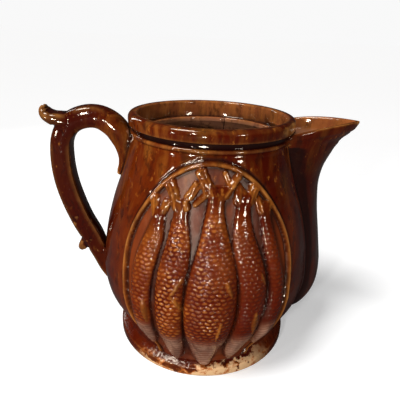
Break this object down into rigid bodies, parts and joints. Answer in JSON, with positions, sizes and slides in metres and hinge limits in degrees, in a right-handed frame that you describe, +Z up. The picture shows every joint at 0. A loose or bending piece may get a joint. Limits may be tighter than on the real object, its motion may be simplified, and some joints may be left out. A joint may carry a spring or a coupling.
{
  "type": "relief-moulded glazed earthenware pitcher",
  "caption": "Glazed earthenware pitcher with hanging fish in relief on both sides, a ring for a lid, a deep pouring spout and a scrolled handle.",
  "frame": {"origin": "on the body's axis, at the underside of the foot", "axes": "+Z up, +X towards the spout, -X towards the handle, the carved panels face -Y and +Y"},
  "size_m": [0.2758, 0.2062, 0.2175],
  "materials": {
    "glaze": "glossy mottled brown lead glaze over buff earthenware, worn at the foot"
  },
  "bodies": {
    "root": {"pitcher": "glaze"}
  },
  "joints": []
}
